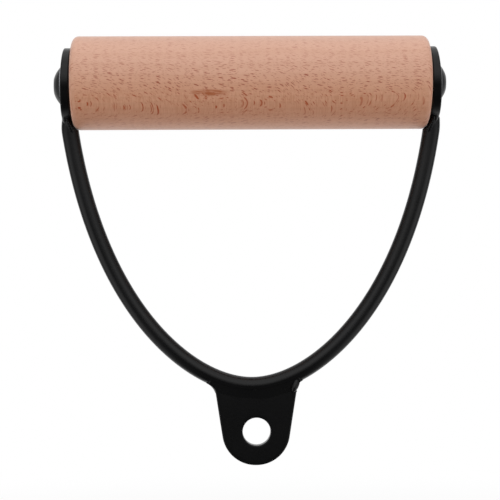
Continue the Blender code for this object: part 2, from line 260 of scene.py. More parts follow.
@dataclass(frozen=True)
class Rays:
    """One size of the wood's rays: its cell and its radii, and a seed so that two sizes differ.

    A cell has a length and a thickness in millimetres. The radii are the smallest and the largest, in
    cells, scatter is how far the cells' points are strewn, and edge is the share of the radius inside
    which a ray has its full colour.
    """

    cell: tuple
    radii: tuple
    seed: float
    scatter: float = 0.95
    edge: float = 0.65

    def shown(self, graph: Graph, along: Value, across: Value, size: Value) -> Value:
        """Return how much of a ray there is, from 0 to 1, each ray a thin ellipse along the grain.

        The ellipse is where the distance to the nearest point of a cell pattern, in cells, is below a
        radius that differs from cell to cell.

        Args:
            graph: The material's graph.
            along: Millimetres along the grain.
            across: Millimetres across the rays.
            size: Scales the radius from place to place.

        Returns:
            The amount.
        """
        place = graph.vector(along / self.cell[0] + self.seed, across / self.cell[1] - self.seed)
        inputs = {"Vector": place, "Scale": 1.0, "Randomness": self.scatter}
        pattern = graph.node("ShaderNodeTexVoronoi", {"voronoi_dimensions": "2D"}, inputs).outputs
        cells = graph.node("ShaderNodeSeparateColor", None, {"Color": pattern["Color"]}).outputs
        chance, tone = Value(graph, cells["Red"]), Value(graph, cells["Green"])
        smallest, largest = self.radii
        reach = (chance ** 2.0 * (largest - smallest) + smallest) * size
        inside = 1.0 - graph.step(Value(graph, pattern["Distance"]), reach * self.edge, reach)
        return inside * (tone * 0.5 + 0.5)


@dataclass(frozen=True)
class Beech(Finish):
    """Turned and oiled beech, as a solid pattern, so that it runs on over corners and end faces.

    The grain runs along X. Growth rings are layers of equal distance in the radial direction, and the
    rays are thin upright sheets that reach along it: where the surface faces across them they show as
    short dashes, and where it faces along the rings they show as tall flecks. Zones, widths and places
    are in millimetres: a zone is where something starts and is complete, in the radial direction from
    the grip's middle, a place is along the grain, along the rings and radial, and a cell is the size of
    a pattern's spots in three directions, of which the first is along the grain.
    """

    name: ClassVar[str] = "beech"
    constants: ClassVar[dict] = {
        "IOR": 1.5, "Specular IOR Level": 0.42, "Sheen Weight": 0.36, "Sheen Roughness": 0.38,
    }
    axis_height: float
    pith_angle: float = radians(34.5)
    pale: tuple = (0.730, 0.376, 0.236, 1.0)
    warm: tuple = (0.650, 0.300, 0.172, 1.0)
    # painted sheen: outer is a paler, whiter colour that stands in for the sheen on the grip's upper front
    outer: tuple = (0.658, 0.394, 0.295, 1.0)
    # painted shade: inner is a deeper, redder colour laid over the grip's lower side
    inner: tuple = (0.653, 0.288, 0.166, 1.0)
    ray: tuple = (0.310, 0.030, 0.002, 1.0)
    tall_ray: tuple = (0.440, 0.060, 0.006, 1.0)
    late: tuple = (0.500, 0.225, 0.125, 1.0)
    stain: tuple = (0.440, 0.125, 0.045, 1.0)
    broad_rays: Rays = Rays((4.2, 0.36), (0.090, 0.275), 3.7)
    fine_rays: Rays = Rays((3.1, 0.20), (0.090, 0.265), 11.3)
    short_rays: Rays = Rays((1.6, 0.25), (0.075, 0.250), 29.9)
    facing_zone: tuple = (2.5, 7.0)
    # where the painted sheen and the painted shade start and are complete, by the radial distance
    painted_sheen_zone: tuple = (1.0, 17.0)
    painted_shade_zone: tuple = (3.0, -4.0)
    faint_low: tuple = (-1.0, -6.0)
    faint_high: tuple = (11.0, 16.0)
    tall_shorter: float = 0.18
    grain_slope: float = 0.125
    wander_cell: tuple = (21.0, 14.0, 22.0)
    streak_cell: tuple = (14.0, 0.42, 0.55)
    speckle_cell: tuple = (0.80, 0.16, 0.9)
    comb_cell: tuple = (0.42, 0.55, 6.0)
    cloud_cell: tuple = (30.0, 5.0, 5.0)
    drift_cell: tuple = (55.0, 9.0, 9.0)
    ring_start: float = 40.0
    ring_width: float = 2.3
    ring_rise: tuple = (0.30, 0.93)
    ring_fall: tuple = (0.95, 1.0)
    stain_place: tuple = (-15.8, 15.70, 4.9)
    stain_reach: tuple = (7.5, 0.55, 2.1)

    @staticmethod
    def cloudy(graph: Graph, place: tuple, cell: tuple, detail: float = 2.0, rough: float = 0.5) -> Value:
        """Return noise over a place in the wood, with a cell's size in millimetres for each direction."""
        stretched = graph.vector(*(distance / size for distance, size in zip(place, cell)))
        return graph.noise(stretched, detail=detail, rough=rough)

    def surface(self, graph: Graph) -> dict:
        """Lay the wood's colours over each other, and take its gloss and relief from the same patterns.

        Args:
            graph: The material's graph.

        Returns:
            The colour, roughness and normal, by socket.
        """
        x, y, z = graph.place()
        along = x * MILLIMETRES
        depth = y * MILLIMETRES
        height = (z - self.axis_height) * MILLIMETRES
        tangent = depth * -cos(self.pith_angle) - height * sin(self.pith_angle)
        radial = height * cos(self.pith_angle) - depth * sin(self.pith_angle)
        wander = self.cloudy(graph, (along, radial, tangent), self.wander_cell, 1.0) * 2.0
        across = tangent - along * self.grain_slope + wander
        place = (along, across, radial)

        facing = 1.0 - graph.step(graph.maths("ABSOLUTE", radial), *self.facing_zone)
        size = 1.0 - facing * self.tall_shorter
        broad, fine, short = (
            rays.shown(graph, along, across, size)
            for rays in (self.broad_rays, self.fine_rays, self.short_rays)
        )

        streak = self.cloudy(graph, place, self.streak_cell, 3.0)
        speckle = self.cloudy(graph, place, self.speckle_cell, 2.0, 0.6)
        comb = self.cloudy(graph, place, self.comb_cell)
        cloud = self.cloudy(graph, place, self.cloud_cell)
        drift = self.cloudy(graph, place, self.drift_cell, 1.0) * 1.3

        phase = graph.maths("FRACT", (radial + drift + self.ring_start) / self.ring_width)
        ring = graph.step(phase, *self.ring_rise) * (1.0 - graph.step(phase, *self.ring_fall))

        off_x, off_y, off_z = (
            ((distance - centre) / reach) ** 2.0
            for distance, centre, reach in zip((along, tangent, radial), self.stain_place, self.stain_reach)
        )
        stain = (1.0 - graph.step(off_x + off_y + off_z, 0.1, 1.0)) * (streak * 1.5 + 0.80)

        tone = streak * 0.40 + speckle * 0.34 + comb * (facing * 1.00 + 0.30) + cloud * 0.45 + 0.45
        shown = 1.0 - graph.step(radial, *self.faint_low) * 0.4
        shown = shown * (1.0 - graph.step(radial, *self.faint_high) * 0.35)
        ray = graph.colour(facing, self.ray, self.tall_ray)
        base = graph.colour(graph.step(tone, 0.0, 1.0), self.pale, self.warm)
        for share, colour in (
            # painted sheen over the upper front, then painted shade on the lower side
            (graph.step(radial, *self.painted_sheen_zone) * 0.75, self.outer),
            (graph.step(radial, *self.painted_shade_zone) * 0.45, self.inner),
            (ring * 0.12, self.late),
            (short * facing * 0.50, ray),
            (fine * shown, ray),
            (broad * shown, ray),
            (stain * 0.90, self.stain),
        ):
            base = graph.colour(share, base, colour)
        return {
            "Base Color": base,
            "Roughness": 0.50 + streak * 0.06 - broad * 0.06,
            "Normal": graph.bump(streak * 0.5 + speckle * 0.5 - broad * 0.4, 0.00004, 0.5),
        }


@dataclass(frozen=True)
class BlackCoat(Finish):
    """Satin black powder coat with faint dimples and a little dust, and a painted lighter grey up the arms
    that stands in for light on them.

    The arms' four heights are where the painted lighter grey starts, is full, starts to fade and has gone.
    """

    name: ClassVar[str] = "black_coat"
    constants: ClassVar[dict] = {"Specular IOR Level": 0.235}
    black: tuple = (0.0010, 0.0010, 0.0012, 1.0)
    # the grey of both the dust and the painted light on the arms
    dust_and_light_grey: tuple = (0.0060, 0.0060, 0.0064, 1.0)
    arms: tuple = (0.012, 0.038, 0.094, 0.108)

    def surface(self, graph: Graph) -> dict:
        """Grey the coat by noise as dust and up the arms as painted light, and dimple it.

        Args:
            graph: The material's graph.

        Returns:
            The colour, roughness and normal, by socket.
        """
        x, y, z = graph.place()
        place = graph.vector(x, y, z)
        peel = graph.noise(place, scale=900.0, detail=1.0)
        powder = graph.noise(place, scale=3800.0, detail=2.0)
        patch = graph.noise(place, scale=90.0, detail=3.0)
        # painted light: between the arms' heights the coat is painted greyer, standing in for the light that
        # falls on the arms
        lit_arms = graph.step(z, *self.arms[:2]) * (1.0 - graph.step(z, *self.arms[2:]))
        dust_and_light = graph.step(powder * 0.5 + patch * 0.4 + lit_arms, 0.0, 1.4)
        return {
            "Base Color": graph.colour(dust_and_light, self.black, self.dust_and_light_grey),
            "Roughness": 0.29 + patch * 0.05 + powder * 0.04,
            "Normal": graph.bump(peel * 0.8 + powder * 0.2, 0.00002, 0.6),
        }


@dataclass(frozen=True)
class BlackedScrew(Finish):
    """Blacked steel with a band near its rim that has been rubbed bare, painted bright as a highlight.

    The band's two edges are distances outwards from the seat, and the seat's distance is measured from
    the X of the grip's middle.
    """

    name: ClassVar[str] = "blacked_screw"
    constants: ClassVar[dict] = {"Specular IOR Level": 0.38}
    middle: float
    seat: float
    band: tuple
    wear_and_highlight: float
    band_edge: float = 0.00004
    black: tuple = (0.006, 0.006, 0.0065, 1.0)
    # bare metal and a painted highlight in one colour
    bare_highlight: tuple = (0.36, 0.36, 0.38, 1.0)

    def surface(self, graph: Graph) -> dict:
        """Brighten the screw in the rubbed band, a painted highlight, and scratch it all over.

        Args:
            graph: The material's graph.

        Returns:
            The colour, roughness, metal and normal, by socket.
        """
        x, y, z = graph.place()
        out = graph.maths("ABSOLUTE", x - self.middle) - self.seat
        scratch = graph.noise(graph.vector(x * 2500.0, y * 900.0, z * 900.0), detail=3.0)
        past_start, past_end = (
            graph.step(out, limit - self.band_edge, limit + self.band_edge) for limit in self.band
        )
        # painted highlight: the band is painted bright, bare metal that stands in for the rim catching the
        # light
        rubbed_highlight = past_start * (1.0 - past_end) * (scratch * 0.25 + 0.95) * self.wear_and_highlight
        return {
            "Base Color": graph.colour(rubbed_highlight, self.black, self.bare_highlight),
            "Roughness": 0.36 + scratch * 0.06,
            "Metallic": rubbed_highlight * 0.2,
            "Normal": graph.bump(scratch, 0.00001, 0.4),
        }


@dataclass(frozen=True)
class TurnedSteel(Finish):
    """Bright steel with the fine rings that a lathe leaves across X."""

    name: ClassVar[str] = "turned_steel"
    constants: ClassVar[dict] = {"Metallic": 1.0}
    steel: tuple = (0.56, 0.56, 0.57, 1.0)
    dull: tuple = (0.44, 0.44, 0.45, 1.0)

    def surface(self, graph: Graph) -> dict:
        """Draw the lathe's rings as noise that is stretched round X.

        Args:
            graph: The material's graph.

        Returns:
            The colour, roughness and normal, by socket.
        """
        x, y, z = graph.place()
        ring = graph.noise(graph.vector(x * 6000.0, y * 60.0, z * 60.0), detail=2.0)
        return {
            "Base Color": graph.colour(graph.step(ring, -0.4, 0.4), self.steel, self.dull),
            "Roughness": 0.32 + ring * 0.08,
            "Normal": graph.bump(ring, 0.00001, 0.4),
        }


@dataclass(frozen=True)
class Nylon(Finish):
    """Natural moulded nylon, slightly mottled."""

    name: ClassVar[str] = "nylon"
    constants: ClassVar[dict] = {"IOR": 1.53}
    pale: tuple = (0.72, 0.70, 0.64, 1.0)
    shade: tuple = (0.64, 0.62, 0.56, 1.0)

    def surface(self, graph: Graph) -> dict:
        """Mottle the nylon.

        Args:
            graph: The material's graph.

        Returns:
            The colour and roughness, by socket.
        """
        mottle = graph.noise(graph.vector(*graph.place()), scale=1200.0, detail=3.0)
        return {
            "Base Color": graph.colour(graph.step(mottle, -0.4, 0.4), self.pale, self.shade),
            "Roughness": 0.48 + mottle * 0.08,
        }


@dataclass(frozen=True)
class Look:
    """What a piece wears, the record's material slot for it, and the body that the piece moves with."""

    material: bpy.types.Material
    slot: str
    body: Body


def middle_of(node: str) -> Vector:
    """Return the middle of a solid's box."""
    low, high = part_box(node)
    return (low + high) / 2


def place_object(name: str, data: bpy.types.ID) -> bpy.types.Object:
    """Make an object and put it into the scene.

    Args:
        name: The object's name.
        data: Its mesh, lamp or camera.

    Returns:
        The object.
    """
    item = bpy.data.objects.new(name, data)
    bpy.context.scene.collection.objects.link(item)
    return item


def around(steps: int) -> np.ndarray:
    """Return equally spaced angles round a whole turn."""
    return np.linspace(0, 2 * pi, steps, endpoint=False)


def grid(x: np.ndarray, y: np.ndarray, z: np.ndarray) -> np.ndarray:
    """Join X, Y and Z into a grid of points; one that is constant along a direction may leave it out."""
    return np.stack(np.broadcast_arrays(x, y, z), axis=-1)


def units(vectors: np.ndarray) -> np.ndarray:
    """Return rows of the same directions and of length one."""
    return vectors / np.linalg.norm(vectors, axis=1)[:, None]


def lengths(curve: np.ndarray) -> np.ndarray:
    """Return the length along a row of points as far as each of them."""
    return np.concatenate([[0], np.cumsum(np.linalg.norm(np.diff(curve, axis=0), axis=1))])


def arc(centre: tuple, radius: float, start: float, end: float, steps: int) -> np.ndarray:
    """Return points along an arc in a plane, from the start angle to the end angle."""
    angle = np.linspace(start, end, steps + 1)
    return np.stack([centre[0] + radius * np.cos(angle), centre[1] + radius * np.sin(angle)], axis=1)


def line(start: tuple, end: tuple, steps: int) -> np.ndarray:
    """Return points along a straight line in a plane, both ends included."""
    share = np.linspace(0, 1, steps + 1)[:, None]
    return np.array(start) * (1 - share) + np.array(end) * share


def turn(profile: np.ndarray, axis: Vector, steps: int) -> np.ndarray:
    """Turn a profile about a line along X.

    A point at x and r on the profile goes to x along the line, and to r times the cosine and sine of
    each of the angles round it.

    Args:
        profile: Points of x and radius.
        axis: A point on the line, from which x is measured.
        steps: How many angles there are.

    Returns:
        One ring per point of the profile.
    """
    angle = around(steps)
    x, radius = profile[:, :1], profile[:, 1:]
    return grid(axis.x + x, axis.y + radius * np.cos(angle), axis.z + radius * np.sin(angle))


def ellipsoid(reach: tuple, steps: int, bands: int = 25, pole: float = 0.05) -> np.ndarray:
    """Return an ellipsoid about the origin, as rings of constant height.

    A ring's half-widths follow the cosine of its latitude and its height the sine. The first and last
    rings stop short of the poles.

    Args:
        reach: The half-widths along X, Y and Z.
        steps: How many points are in a ring.
        bands: How many rings there are.
        pole: The angle between the last ring and the pole.

    Returns:
        The rings.
    """
    latitude = np.linspace(-pi / 2 + pole, pi / 2 - pole, bands)[:, None]
    angle = around(steps)
    return grid(
        reach[0] * np.cos(latitude) * np.cos(angle),
        reach[1] * np.cos(latitude) * np.sin(angle),
        reach[2] * np.sin(latitude),
    )


def grid_faces(rows: int, columns: int, wrap_rows: bool) -> tuple[np.ndarray, np.ndarray]:
    """Return the faces over a grid of points whose rows are closed rings.

    Args:
        rows: How many rings there are.
        columns: How many points are in a ring.
        wrap_rows: Whether the last ring joins the first; otherwise two fans close the ends.

    Returns:
        The quads, and the fans' triangles about the points numbered just after the grid's.
    """
    index = np.arange(rows * columns).reshape(rows, columns)
    ring = np.vstack([index, index[:1]]) if wrap_rows else index
    after = np.roll(ring, -1, axis=1)
    quads = np.stack([ring[:-1], ring[1:], after[1:], after[:-1]], axis=-1).reshape(-1, 4)
    if wrap_rows:
        return quads, np.empty((0, 3), int)
    first, last = np.full(columns, rows * columns), np.full(columns, rows * columns + 1)
    start = np.stack([first, index[0], np.roll(index[0], -1)], axis=-1)
    end = np.stack([last, np.roll(index[-1], -1), index[-1]], axis=-1)
    return quads, np.vstack([start, end])


def shell(points: np.ndarray, wrap_rows: bool = False) -> tuple[np.ndarray, np.ndarray, np.ndarray]:
    """Return the vertices and faces of a closed surface over a grid, facing outwards.

    The sum over all triangles of one sixth of the triple product of their corners is the volume
    inside, and where that is negative every face is turned over.

    Args:
        points: Rows of closed rings, as an array of rows by columns by three.
        wrap_rows: Whether the rows close into a torus as well.

    Returns:
        The vertices, the quads and the triangles.
    """
    quads, fans = grid_faces(*points.shape[:2], wrap_rows)
    vertices = points.reshape(-1, 3)
    if not wrap_rows:
        vertices = np.vstack([vertices, points[0].mean(axis=0), points[-1].mean(axis=0)])
    corners = np.vstack([quads[:, [0, 1, 2]], quads[:, [0, 2, 3]], fans])
    a, b, c = (vertices[corners[:, i]] for i in range(3))
    turned_in = np.einsum("ij,ij->i", a, np.cross(b, c)).sum() < 0
    order = slice(None, None, -1) if turned_in else slice(None)
    return vertices, quads[:, order], fans[:, order]


def add_piece(name: str, shells: list, look: Look, *nodes: str, crease: float = radians(40)) -> None:
    """Put one smooth-shaded mesh into the scene in place of the solids that it stands for.

    Args:
        name: The piece's name.
        shells: Closed surfaces, as shell returns them.
        look: What the piece wears and what it moves with.
        nodes: The solids that it replaces.
        crease: Edges that turn by more than this angle stay sharp.
    """
    vertices, faces, count = [], [], 0
    for points, quads, triangles in shells:
        vertices.append(points)
        faces += (quads + count).tolist() + (triangles + count).tolist()
        count += len(points)
    mesh = bpy.data.meshes.new(name)
    mesh.from_pydata(np.vstack(vertices), [], faces)
    mesh.validate()
    mesh.shade_smooth()
    mesh.set_sharp_from_angle(angle=crease)
    mesh.materials.append(look.material)
    piece = place_object(name, mesh)
    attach(piece, look.body.value)
    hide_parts(*nodes)
    log.info("%s: %d faces, rides %s, for %s", name, len(mesh.polygons), look.body.value, ", ".join(nodes))


def dress(*nodes: str, material: bpy.types.Material) -> None:
    """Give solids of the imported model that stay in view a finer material.

    Args:
        nodes: The solids' names.
        material: What they wear from now on.
    """
    for name in nodes:
        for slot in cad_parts[name].material_slots:
            slot.material = material
        log.info("%s: keeps its solid, in %s", name, material.name)


@dataclass
class GripRoll:
    """The turned wooden grip, and the bushes that it carries. Other pieces keep a gap from it."""

    centre: Vector
    length: float
    diameter: float
    corner: float = 0.0023
    bore: float = 0.0073
    recess: float = 0.0088
    recess_depth: float = 0.0018
    gap: float = 0.00012
    round_steps: int = 192
    barrel_steps: tuple = (24, 4)
    corner_steps: int = 12
    face_steps: int = 6

    @classmethod
    def from_frame(cls) -> "GripRoll":
        """Take the grip's place and size from its solid."""
        low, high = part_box("grip")
        return cls(centre=middle_of("grip"), length=high.x - low.x, diameter=high.z - low.z)

    def profile(self) -> np.ndarray:
        """Draw the grip's section: the outside, a rounded corner, an end face, a recess and the bore.

        Returns:
            A closed loop of x and radius.
        """
        half, outer, corner = self.length / 2, self.diameter / 2, self.corner
        flat = half - corner
        right = np.vstack([
            line((0, outer), (flat - corner, outer), self.barrel_steps[0])[1:],
            line((flat - corner, outer), (flat, outer), self.barrel_steps[1])[1:-1],
            arc((flat, outer - corner), corner, pi / 2, 0, self.corner_steps),
            line((half, outer - corner), (half, self.recess), self.face_steps)[1:],
            [(half - self.recess_depth, self.recess), (half - self.recess_depth, self.bore)],
        ])
        left = right[::-1] * (-1, 1)
        return np.vstack([[(0, outer)], right, [(0, self.bore)], left])

    def keep_clear(self, points: np.ndarray) -> np.ndarray:
        """Push points that are too near the turning grip straight away from it.

        The distance to the grip is that to a rectangle of x and radius with rounded corners: the
        length of what lies beyond the corner's centre in x and in radius, less the corner's radius.

        Args:
            points: An array whose last axis is X, Y and Z.

        Returns:
            The points, moved where they have to be.
        """
        place = points - np.array(self.centre)
        along, radius = np.abs(place[..., 0]), np.hypot(place[..., 1], place[..., 2])
        beyond = np.stack([along - self.length / 2, radius - self.diameter / 2], axis=-1) + self.corner
        outside = np.maximum(beyond, 0)
        reach = np.linalg.norm(outside, axis=-1)
        distance = reach + np.minimum(beyond.max(axis=-1), 0) - self.corner
        nearest = np.stack([beyond[..., 0] >= beyond[..., 1], beyond[..., 0] < beyond[..., 1]], axis=-1)
        rounded = reach[..., None] > TINY
        direction = np.where(rounded, outside / np.maximum(reach, TINY)[..., None], nearest)
        push = np.maximum(self.gap - distance, 0)[..., None] * direction
        scale = 1 + push[..., 1] / np.maximum(radius, TINY)
        along_moved = place[..., 0] + np.sign(place[..., 0]) * push[..., 0]
        return grid(along_moved, place[..., 1] * scale, place[..., 2] * scale) + np.array(self.centre)

    def build(self) -> None:
        """Turn the grip, and dress it and the bushes."""
        rings = turn(self.profile(), self.centre, self.round_steps)
        wood = Look(Beech(self.centre.z).material(), "beech", Body.ROLL)
        add_piece("beech_grip", [shell(rings, wrap_rows=True)], wood, "grip")
        dress("bush_left", "bush_right", material=Nylon().material())


@dataclass
class Bow:
    """The bent rod. Each half of its centreline is one cubic curve from the lowest point to a rod end.

    Above the curve each end straightens to a lean of its own and stops at a height below the grip's
    middle. The right half is spread a little wider.
    """

    centre: Vector
    radius: float
    depth: float
    end_drop: float
    end_x: float
    bottom_pull: float = 0.0214
    side_pull: float = 0.0628
    lean: float = radians(8.85)
    top: tuple = (0.0118, 0.0116)
    top_lean: tuple = (radians(-5.0), radians(-1.0))
    spread_right: float = 1.0035
    shoulder: float = 0.0012
    curve_steps: int = 150
    fine_steps: int = 1500
    tip_steps: int = 30
    ring_steps: int = 48

    @classmethod
    def from_frame(cls) -> "Bow":
        """Take the rod's size, and its ends, from the solids of the bow and the eyes.

        Returns:
            The bow.
        """
        low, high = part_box("bow")
        eye_low, eye_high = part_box("eye_right")
        centre = middle_of("grip")
        radius = (high.y - low.y) / 2
        end_drop = centre.z - (high.z - radius * sin(cls.lean))
        eye_radius = (eye_high.z - eye_low.z) / 2
        end_x = (eye_low.x + eye_high.x) / 2 - centre.x - (end_drop - eye_radius) * tan(cls.lean)
        return cls(centre, radius, centre.z - low.z - radius, end_drop, end_x)

    def half(self, samples: int) -> np.ndarray:
        """Return the right half of the centreline from the lowest point up.

        Each point is the sum of the four corners, each times its share of the cubic curve.

        Args:
            samples: How many points there are.

        Returns:
            X and Z of the points, from the grip's centre.
        """
        t = np.linspace(0, 1, samples)[:, None]
        end = np.array([self.end_x, -self.end_drop])
        corners = np.array([
            (0, -self.depth),
            (self.bottom_pull, -self.depth),
            end - self.side_pull * np.array([sin(self.lean), cos(self.lean)]),
            end,
        ])
        shares = [(1 - t) ** 3, 3 * (1 - t) ** 2 * t, 3 * (1 - t) * t ** 2, t ** 3]
        return sum(share * corner for share, corner in zip(shares, corners))

    def tip(self, side: Side, samples: int) -> np.ndarray:
        """Return the straightening last stretch, up to where the rod runs into the eye's rim.

        The lean goes steadily from that of the curve's end to that of the tip, and the points are the
        running sums of the steps that it gives.

        Args:
            side: The end of the rod.
            samples: How many points there are.

        Returns:
            X and Z of the points, from the grip's centre, with X outwards.
        """
        length = (self.end_drop - side.pick(self.top)) / cos(self.lean / 2)
        share = np.linspace(0, 1, samples)
        lean = self.lean + (side.pick(self.top_lean) - self.lean) * np.minimum(2 * share, 1)
        step = np.stack([np.sin(lean), np.cos(lean)], axis=1) * length / (samples - 1)
        start = np.array([self.end_x, -self.end_drop])
        return start + np.cumsum(step, axis=0) - step

    def centreline(self) -> np.ndarray:
        """Join both halves and both tips into the whole centreline, from left to right.

        Returns:
            X and Z of the points, from the grip's centre.
        """
        left, right = (
            np.vstack([self.half(self.curve_steps), self.tip(side, self.tip_steps)[1:]]) for side in Side
        )
        return np.vstack([left[::-1] * (-1, 1), right[1:] * (self.spread_right, 1)])

    def parallel(self, along: "np.ndarray | float", distance: "np.ndarray | float" = 0.0) -> np.ndarray:
        """Return points at places along the lower part of the curve and distances outwards from it.

        Args:
            along: Lengths along the centreline from its lowest point, to the right.
            distance: Distances from the centreline, away from the grip.

        Returns:
            X and Z of the points, in the frame.
        """
        right = self.half(self.fine_steps)
        curve = np.vstack([right[::-1] * (-1, 1), right[1:]])
        length = lengths(curve)
        length -= length[len(length) // 2]
        direction = units(np.gradient(curve, axis=0))
        x, z, dx, dz = (np.interp(along, length, column) for column in (*curve.T, *direction.T))
        return np.stack([self.centre.x + x + distance * dz, self.centre.z + z - distance * dx], axis=-1)

    def rings(self) -> np.ndarray:
        """Carry a circle along the centreline, upright to it.

        Near each end the circle shrinks along a quarter arc, which rounds the rod's end.

        Returns:
            The rod's rings.
        """
        curve = self.centreline()
        direction = units(np.gradient(curve, axis=0))
        length = lengths(curve)
        to_end = np.minimum(length, length[-1] - length)
        inset = np.clip(1 - to_end / self.shoulder, 0, 1)
        radius = (self.radius - self.shoulder * (1 - np.sqrt(1 - inset ** 2)))[:, None]
        angle = around(self.ring_steps)
        side = radius * np.cos(angle)
        return grid(
            self.centre.x + curve[:, :1] + side * direction[:, 1:],
            self.centre.y + radius * np.sin(angle),
            self.centre.z + curve[:, 1:] - side * direction[:, :1],
        )

    def build(self, grip: GripRoll, coated: Look) -> None:
        """Sweep the rod, keeping its ends clear of the grip."""
        add_piece("rod_bow", [shell(grip.keep_clear(self.rings()))], coated, "bow")


@dataclass
class Eye:
    """The round plate at one end of the grip, and the weld between it and the rod.

    The plate is a little smaller in radius than its solid and was welded on a little low. Its faces
    aren't quite parallel: wedge is the angle between them. Places of the lump and the beads are measured
    from the grip's centre, with X outwards.
    """

    side: Side
    centre: Vector
    inner_x: float
    outer_x: float
    radius: float
    smaller: float = 0.00015
    wedge: tuple = (radians(1.6), radians(2.1))
    drop: tuple = (0.0006, 0.00025)
    hole_radius: float = 0.0033
    rim_edge: float = 0.0005
    hole_edge: float = 0.0002
    neck_top: float = 0.0121
    neck_base: float = 0.0162
    neck_share: float = 0.93
    neck_half_width: float = 0.0043
    neck_sunk: float = 0.00015
    bead_radius: float = 0.00095
    bead_ends: tuple = (0.03, 0.97)
    bead_path: tuple = ((0.0640, 0.0036, -0.0126), (0.0630, 0.0031, -0.0152), (0.0617, 0.0016, -0.0185))
    ripple: float = 0.00005
    ripple_pitch: float = 0.0009
    lump_centre: tuple = (0.0646, 0.0, -0.0121)
    lump_reach: tuple = (0.0042, 0.0026)
    lump_build: tuple = (0.00145, 0.00122)
    plate_steps: int = 144
    hole_steps: int = 3
    face_steps: int = 8
    rim_steps: tuple = (6, 3, 8)
    neck_steps: tuple = (28, 48)
    bead_steps: tuple = (60, 24)
    lump_steps: int = 40

    @classmethod
    def from_frame(cls, side: Side) -> "Eye":
        """Take the plate's place and size from its solid.

        Args:
            side: The end of the grip.

        Returns:
            The eye.
        """
        low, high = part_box("eye_" + side.label)
        centre = middle_of("grip")
        inner, outer = sorted(abs(x - centre.x) for x in (low.x, high.x))
        return cls(side, centre, inner, outer, (high.z - low.z) / 2 - cls.smaller)

    def profile(self) -> np.ndarray:
        """Draw the plate's section, with every edge rounded by an arc.

        Returns:
            A closed loop of x and radius.
        """
        inner, outer, rim, hole = self.inner_x, self.outer_x, self.radius, self.hole_radius
        e, h = self.rim_edge, self.hole_edge
        inner_edge, rim_width, outer_edge = self.rim_steps
        return np.vstack([
            arc((inner + h, hole + h), h, -pi / 2, -pi, self.hole_steps),
            line((inner, hole + h), (inner, rim - e), self.face_steps)[1:-1],
            arc((inner + e, rim - e), e, pi, pi / 2, inner_edge),
            line((inner + e, rim), (outer - e, rim), rim_width)[1:-1],
            arc((outer - e, rim - e), e, pi / 2, 0, outer_edge),
            line((outer, rim - e), (outer, hole + h), self.face_steps)[1:-1],
            arc((outer - h, hole + h), h, 0, -pi / 2, self.hole_steps),
        ]) * (self.side.value, 1)

    def plate(self) -> np.ndarray:
        """Turn the plate, slightly thicker towards the rod than at the top.

        How far a point moves outwards is its share of the thickness, counted from the inner face,
        times its height below the grip's middle, times the tangent of the wedge's angle.

        Returns:
            The plate's rings.
        """
        axis = self.centre - Vector((0, 0, self.side.pick(self.drop)))
        rings = turn(self.profile(), axis, self.plate_steps)
        out = self.side.value * (rings[..., 0] - self.centre.x)
        share = np.clip((out - self.inner_x) / (self.outer_x - self.inner_x), 0, 1)
        slope = tan(self.side.pick(self.wedge))
        rings[..., 0] += self.side.value * share * (self.centre.z - rings[..., 2]) * slope
        return rings

    def outwards(self, points: np.ndarray) -> np.ndarray:
        """Move points from the grip's centre, with X outwards, into the frame."""
        return points * (self.side.value, 1, 1) + np.array(self.centre)

    def lump(self) -> np.ndarray:
        """Return the lump of weld that fills the corner between the rod's end and the plate's outer face."""
        reach = (self.side.pick(self.lump_build), *self.lump_reach)
        return self.outwards(ellipsoid(reach, self.lump_steps) + self.lump_centre)

    def neck(self, bow: Bow) -> np.ndarray:
        """Return the core of the weld: an ellipse carried up from the rod into the plate's rim.

        Its half-widths and its middle go from those of the rod to those of the plate along a smooth
        step, and the ellipse widens along Y to wrap the rim.

        Args:
            bow: The rod.

        Returns:
            The ellipse's rings.
        """
        share = np.linspace(0, 1, self.neck_steps[0])[:, None]
        ease = share * share * (3 - 2 * share)
        base_x = np.interp(-self.neck_base, *bow.tip(self.side, 2 * bow.tip_steps).T[::-1])
        plate_x = (self.inner_x + self.outer_x) / 2
        middle = base_x + (plate_x - base_x) * ease
        start = bow.radius * self.neck_share
        half_x = start + ((self.outer_x - self.inner_x) / 2 - self.neck_sunk - start) * ease
        half_y = start + (self.neck_half_width - start) * ease
        height = -self.neck_base + (self.neck_base - self.neck_top) * share
        angle = around(self.neck_steps[1])
        return self.outwards(grid(middle + half_x * np.cos(angle), half_y * np.sin(angle), height))

    def bead(self, face: int) -> np.ndarray:
        """Return a bead of weld down the inner side of the joint, on the front or the back.

        A circle is carried along a quadratic curve from the rim to the rod. Its radius rises and
        falls as the square root of a sine, from just after the sine's start to just before its end,
        with a small ripple along the way.

        Args:
            face: -1 for the front and 1 for the back.

        Returns:
            The bead's rings.
        """
        share = np.linspace(0, 1, self.bead_steps[0])[:, None]
        start, bend, end = np.array(self.bead_path) * (1, face, 1)
        path = (1 - share) ** 2 * start + 2 * (1 - share) * share * bend + share ** 2 * end
        direction = units(np.gradient(path, axis=0))
        across = units(np.cross(direction, (0, 1, 0)))
        upright = np.cross(direction, across)
        ripples = np.linalg.norm(end - start) / self.ripple_pitch
        first, last = self.bead_ends
        swell = np.sqrt(np.sin(pi * (first + (last - first) * share)))
        radius = (self.bead_radius * swell + self.ripple * np.cos(2 * pi * share * ripples))[:, None]
        angle = around(self.bead_steps[1])[:, None]
        circle = np.cos(angle) * across[:, None] + np.sin(angle) * upright[:, None]
        return self.outwards(path[:, None] + radius * circle)

    def build(self, grip: GripRoll, bow: Bow, coated: Look) -> None:
        """Make the plate and its weld.

        Args:
            grip: What the weld keeps clear of.
            bow: The rod that the weld joins.
            coated: The look of both.
        """
        label = self.side.label
        add_piece("round_eye_" + label, [shell(self.plate(), wrap_rows=True)], coated, "eye_" + label)
        forms = [self.neck(bow), self.lump(), self.bead(-1), self.bead(1)]
        welds = [shell(grip.keep_clear(form)) for form in forms]
        add_piece("weld_at_eye_" + label, welds, coated, "eye_weld_" + label)


